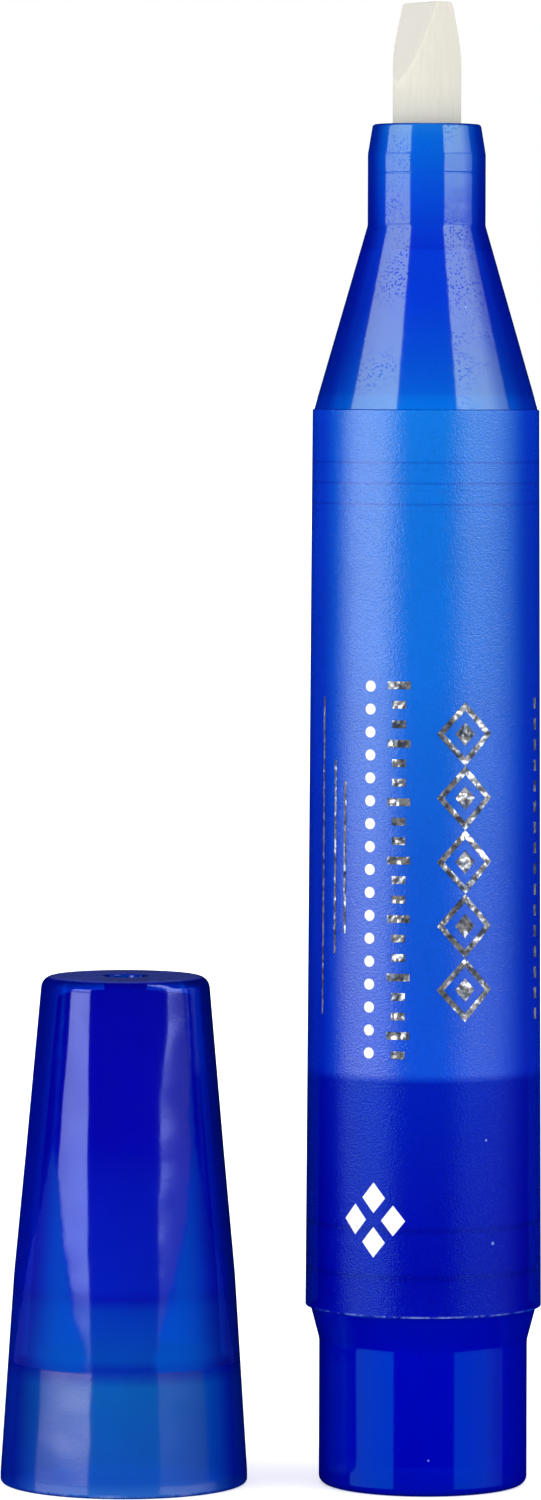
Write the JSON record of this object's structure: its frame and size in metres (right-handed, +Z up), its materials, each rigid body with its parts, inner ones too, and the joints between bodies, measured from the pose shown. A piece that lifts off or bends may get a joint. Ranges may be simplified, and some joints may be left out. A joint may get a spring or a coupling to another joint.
{
  "type": "cuticle pen",
  "caption": "Blue translucent cuticle care pen with a felt chisel nib, fibre reservoir and end plug, standing upright with its vented cap off beside it.",
  "frame": {"origin": "middle of the end plug's flat foot, on the pen's axis, where the pen stands", "axes": "+Z up along the pen's axis to the nib, -Y towards the viewer of the picture, -X towards the cap that stands beside the pen"},
  "size_m": [0.0394, 0.018, 0.108],
  "materials": {
    "satin_barrel": "translucent blue polypropylene, satin outside",
    "gloss_front": "translucent blue polypropylene, polished",
    "gloss_plug": "translucent deep blue polypropylene, polished",
    "felt": "bonded polyester felt, cream white",
    "fibre": "bonded polyester fibre, white",
    "film": "clear shrunk film",
    "gloss_cap": "translucent blue polypropylene, polished, with faint sink marks",
    "gloss_inner_cap": "translucent blue polypropylene"
  },
  "bodies": {
    "pen": {"barrel": "satin_barrel", "front_section": "gloss_front", "end_plug": "gloss_plug", "felt_nib": "felt", "fibre_reservoir": "fibre", "reservoir_film": "film"},
    "cap": {"cap_shell": "gloss_cap", "inner_cap": "gloss_inner_cap"}
  },
  "joints": [
    {"name": "cap_lift", "type": "slide", "parent": "pen", "child": "cap", "axis": [0, 0, 1], "range_m": [0, 0.112]}
  ]
}
